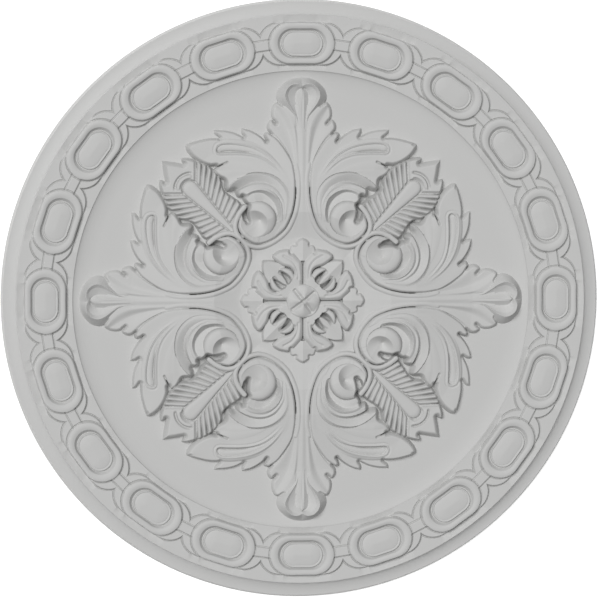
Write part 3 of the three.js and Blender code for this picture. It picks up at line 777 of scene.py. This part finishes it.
def snap_edges(obj, planes):
    """Puts a thinned mesh's border back on the planes it was cut along. Planes are unit
    normals through the origin."""
    mesh = obj.data
    co = np.empty(len(mesh.vertices) * 3)
    mesh.vertices.foreach_get("co", co)
    co = co.reshape(-1, 3)
    for nx, ny in planes:
        off = co[:, 0] * nx + co[:, 1] * ny
        on = np.abs(off) < SNAP
        co[on, 0] -= off[on] * nx
        co[on, 1] -= off[on] * ny
    mesh.vertices.foreach_set("co", co.ravel())
    mesh.update()


def add_node(tree, kind, settings=None, links=None):
    """Adds a node, sets its properties or inputs, and links its inputs from other sockets."""
    node = tree.nodes.new(kind)
    for key, value in (settings or {}).items():
        if isinstance(key, str) and hasattr(node, key):
            setattr(node, key, value)
        else:
            node.inputs[key].default_value = value
    for key, source in (links or {}).items():
        tree.links.new(source, node.inputs[key])
    return node


def turned_copies_tree(name):
    """Copies a mirrored pair round the middle, welds them and gives them their material."""
    tree = bpy.data.node_groups.new(name, "GeometryNodeTree")
    face = tree.interface
    face.new_socket("Geometry", in_out="INPUT", socket_type="NodeSocketGeometry")
    count = face.new_socket("Pairs", in_out="INPUT", socket_type="NodeSocketInt")
    weld = face.new_socket("Weld Distance", in_out="INPUT", socket_type="NodeSocketFloat")
    paint = face.new_socket("Paint", in_out="INPUT", socket_type="NodeSocketMaterial")
    face.new_socket("Geometry", in_out="OUTPUT", socket_type="NodeSocketGeometry")
    given = tree.nodes.new("NodeGroupInput")
    half = given.outputs["Geometry"]
    mirrored = add_node(tree, "GeometryNodeTransform", {"Scale": (-1, 1, 1)}, {"Geometry": half})
    turned = add_node(tree, "GeometryNodeFlipFaces", None, {"Mesh": mirrored.outputs[0]})
    pair = add_node(tree, "GeometryNodeJoinGeometry")
    tree.links.new(half, pair.inputs[0])
    tree.links.new(turned.outputs[0], pair.inputs[0])
    spots = add_node(tree, "GeometryNodeMeshLine", {"Offset": (0, 0, 0)},
                     {"Count": given.outputs["Pairs"]})
    index = add_node(tree, "GeometryNodeInputIndex")
    step = add_node(tree, "ShaderNodeMath", {"operation": "DIVIDE", 0: math.tau},
                    {1: given.outputs["Pairs"]})
    angle = add_node(tree, "ShaderNodeMath", {"operation": "MULTIPLY"},
                     {0: index.outputs[0], 1: step.outputs[0]})
    spin = add_node(tree, "ShaderNodeCombineXYZ", None, {"Z": angle.outputs[0]})
    copies = add_node(tree, "GeometryNodeInstanceOnPoints", None,
                      {"Points": spots.outputs[0],
                       "Instance": pair.outputs[0],
                       "Rotation": spin.outputs[0]})
    real = add_node(tree, "GeometryNodeRealizeInstances", None, {0: copies.outputs[0]})
    joined = add_node(tree, "GeometryNodeMergeByDistance", None,
                      {"Geometry": real.outputs[0], "Distance": given.outputs["Weld Distance"]})
    painted = add_node(tree, "GeometryNodeSetMaterial", None,
                       {"Geometry": joined.outputs[0], "Material": given.outputs["Paint"]})
    out = tree.nodes.new("NodeGroupOutput")
    tree.links.new(painted.outputs[0], out.inputs[0])
    sockets = {"Pairs": count, "Weld Distance": weld, "Paint": paint}
    return tree, {name: socket.identifier for name, socket in sockets.items()}


def linear(hex_colour):
    """sRGB hex to linear red, green, blue and alpha."""
    channels = [int(hex_colour[i:i + 2], 16) / 255 for i in (1, 3, 5)]
    return (*[c / 12.92 if c <= 0.04045 else ((c + 0.055) / 1.055) ** 2.4 for c in channels], 1)


# Stipple of the sprayed primer, in metres
STIPPLE_SIZE = 0.0008
STIPPLE_DEPTH = 0.00003


def painted_polyurethane():
    """Rigid polyurethane foam cast in a mould, then primed white at the works. The primer is
    sprayed on, so it dries with a faint stipple, and the eye sees a dull, chalky surface
    without highlights."""
    material = bpy.data.materials.new("painted_polyurethane")
    material.use_nodes = True
    tree = material.node_tree
    tree.nodes.clear()
    place = add_node(tree, "ShaderNodeTexCoord")
    stipple = add_node(tree, "ShaderNodeTexNoise", {"Scale": 1 / STIPPLE_SIZE, "Detail": 2},
                       {"Vector": place.outputs["Object"]})
    bumps = add_node(tree, "ShaderNodeBump", {"Strength": 1, "Distance": STIPPLE_DEPTH},
                     {"Height": stipple.outputs[0]})
    shader = add_node(tree, "ShaderNodeBsdfPrincipled",
                      {"Base Color": linear("#CFCFCE"), "Roughness": 0.8, "IOR": 1.45},
                      {"Normal": bumps.outputs[0]})
    add_node(tree, "ShaderNodeOutputMaterial", None, {"Surface": shader.outputs[0]})
    return material


def close_underneath(obj, base=0, ring=False):
    """Gives the relief its side walls and flat back, so that it is a closed solid. A ring
    has a wall inside as well, and its back lies between the two walls."""
    bm = bmesh.new()
    bm.from_mesh(obj.data)
    rim = [e for e in bm.edges if e.is_boundary]
    low = bmesh.ops.extrude_edge_only(bm, edges=rim)["geom"]
    for v in low:
        if isinstance(v, bmesh.types.BMVert):
            v.co.z = base / 1000
    bottom = [e for e in bm.edges if e.is_boundary]
    if ring:
        bmesh.ops.bridge_loops(bm, edges=bottom)
    else:
        bmesh.ops.holes_fill(bm, edges=bottom, sides=0)
    bmesh.ops.triangulate(bm, faces=[f for f in bm.faces if len(f.verts) > 4])
    bmesh.ops.recalc_face_normals(bm, faces=bm.faces)
    bm.to_mesh(obj.data)
    bm.free()


def copied_round(obj, pairs, material):
    """Bakes the copies of a half and its mirror image round the middle into the mesh."""
    tree, sockets = turned_copies_tree(obj.name + "_copies")
    modifier = obj.modifiers.new("Copies", "NODES")
    modifier.node_group = tree
    modifier[sockets["Pairs"]] = pairs
    modifier[sockets["Weld Distance"]] = WELD
    modifier[sockets["Paint"]] = material
    apply_modifiers(obj)


def bud():
    """The bud, on a polar grid closed at its pole."""
    turns = BUD_TURNS
    rings = np.linspace(0, BUD_RADIUS, BUD_RINGS)[1:]
    angle = np.arange(turns) * math.tau / turns
    x, y = (np.outer(rings, part).ravel() for part in (np.cos(angle), np.sin(angle)))
    points = np.column_stack([x, y, FIELD_HEIGHT + bud_relief(x, y)])
    top = [0, 0, FIELD_HEIGHT + bud_relief(np.zeros(1), np.zeros(1))[0]]
    last = len(points)
    faces = [(last, k, (k + 1) % turns) for k in range(turns)]
    for ring in range(len(rings) - 1):
        a, b = ring * turns, (ring + 1) * turns
        for k in range(turns):
            n = (k + 1) % turns
            faces.append((a + k, b + k, b + n, a + n))
    return mesh_object("bud", np.vstack([points, top]), faces)


def half_oval():
    """Half a unit of the ring, from its middle to the next gap, with the lists beside it and
    the rim outside it."""
    angle = np.linspace(0, HALF_UNIT, STEPS_ALONG_UNIT)
    radii = np.r_[INNER_LIST, np.linspace(RING_INNER, RING_OUTER, STEPS_ACROSS_RING),
                  np.linspace(OUTER_LIST, RIM_TOP, STEPS_ACROSS_RIM), RIM_RADIUS]
    a, r = np.meshgrid(angle, radii)
    x, y = r * np.sin(a), r * np.cos(a)
    z = turned_height(r)
    ring = (r > RING_INNER - RING_MARGIN) & (r < RING_OUTER + RING_MARGIN)
    z = np.where(ring, ring_relief(x, y - RING_RADIUS), z)
    z[-1] = 0
    n = len(angle)
    faces = []
    for row in range(len(radii) - 1):
        for k in range(row * n, row * n + n - 1):
            faces.append((k, k + n, k + n + 1, k + 1))
    made = mesh_object("border_unit", np.column_stack([x.ravel(), y.ravel(), z.ravel()]), faces)
    thinned = made.modifiers.new("Thin", "DECIMATE")
    thinned.ratio = UNIT_TRIANGLES / (2 * len(faces))
    return made


paint = painted_polyurethane()

flower = eighth_of_flower()
apply_modifiers(flower)
snap_edges(flower, [(1, 0), (math.sqrt(0.5), -math.sqrt(0.5))])
copied_round(flower, LEAF_COUNT, paint)
flower.name = "flower_and_field"
close_underneath(flower)

border = half_oval()
apply_modifiers(border)
snap_edges(border, [(1, 0), (math.cos(HALF_UNIT), -math.sin(HALF_UNIT))])
copied_round(border, OVAL_COUNT, paint)
border.name = "border_and_rim"
close_underneath(border, ring=True)

bud_piece = bud()
bud_piece.data.materials.append(paint)
close_underneath(bud_piece, base=FIELD_HEIGHT + ROSETTE_LEVEL - BUD_SUNK)

for piece in (flower, border, bud_piece):
    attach(piece, "root")
    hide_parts("ceiling_rose")

# Pale floor under the rose, in metres
FLOOR_SIZE = 12
FLOOR_GAP = 0.0005
FLOOR_GLOW = 0.4
bpy.ops.mesh.primitive_plane_add(size=FLOOR_SIZE, location=(0, 0, -FLOOR_GAP))
floor = bpy.context.object
floor.name = "floor"
floor_paint = bpy.data.materials.new("pale_floor")
floor_paint.use_nodes = True
floor_shader = floor_paint.node_tree.nodes["Principled BSDF"]
floor_shader.inputs["Base Color"].default_value = linear("#FFFFFF")
floor_shader.inputs["Roughness"].default_value = 0.9
floor_shader.inputs["Emission Color"].default_value = linear("#FFFFFF")
floor_shader.inputs["Emission Strength"].default_value = FLOOR_GLOW
floor.data.materials.append(floor_paint)

# The photograph looks at the face from a little to its upper left. The circle's centre and
# radius are in a frame of 600 pixels.
FRAME_PIXELS = 600
CIRCLE_CENTRE = (300.4, 298.9)
CIRCLE_RADIUS = 299.3
CAMERA_DISTANCE = 3.0
CAMERA_AZIMUTH = 143
CAMERA_TILT = 6.5
SENSOR_WIDTH = 36


def towards(azimuth, tilt):
    """Unit direction at an azimuth from +X and a tilt from straight up, both in degrees."""
    turn, lean = math.radians(azimuth), math.radians(tilt)
    out = math.sin(lean)
    return Vector((out * math.cos(turn), out * math.sin(turn), math.cos(lean)))


camera_data = bpy.data.cameras.new("camera")
camera = bpy.data.objects.new("camera", camera_data)
bpy.context.scene.collection.objects.link(camera)
metres_wide = FRAME_PIXELS * (RIM_RADIUS / 1000) / CIRCLE_RADIUS
camera_data.sensor_width = SENSOR_WIDTH
camera_data.lens = SENSOR_WIDTH * CAMERA_DISTANCE / metres_wide
view = towards(CAMERA_AZIMUTH, CAMERA_TILT)
camera.location = CAMERA_DISTANCE * view
camera.rotation_mode = "QUATERNION"
right = Vector((0, 1, 0)).cross(view).normalized()
camera.rotation_quaternion = Matrix((right, view.cross(right), view)).transposed().to_quaternion()
camera_data.shift_x = (FRAME_PIXELS / 2 - CIRCLE_CENTRE[0]) / FRAME_PIXELS
camera_data.shift_y = (CIRCLE_CENTRE[1] - FRAME_PIXELS / 2) / FRAME_PIXELS
bpy.context.scene.camera = camera

# Soft light from the upper left, nearly along the view, and an even grey surround
LIGHT_AZIMUTH = 138
LIGHT_TILT = 24
LIGHT_STRENGTH = 2.1
LIGHT_SPREAD = 25
SURROUND_STRENGTH = 0.2
sun_data = bpy.data.lights.new("window", "SUN")
sun_data.energy = LIGHT_STRENGTH
sun_data.angle = math.radians(LIGHT_SPREAD)
sun = bpy.data.objects.new("window", sun_data)
sun.rotation_mode = "QUATERNION"
sun.rotation_quaternion = towards(LIGHT_AZIMUTH, LIGHT_TILT).to_track_quat("Z", "Y")
bpy.context.scene.collection.objects.link(sun)
world = bpy.data.worlds.new("surround")
world.use_nodes = True
surround = world.node_tree.nodes["Background"]
surround.inputs["Color"].default_value = linear("#FFFFFF")
surround.inputs["Strength"].default_value = SURROUND_STRENGTH
bpy.context.scene.world = world
bpy.context.scene.view_settings.view_transform = "Standard"
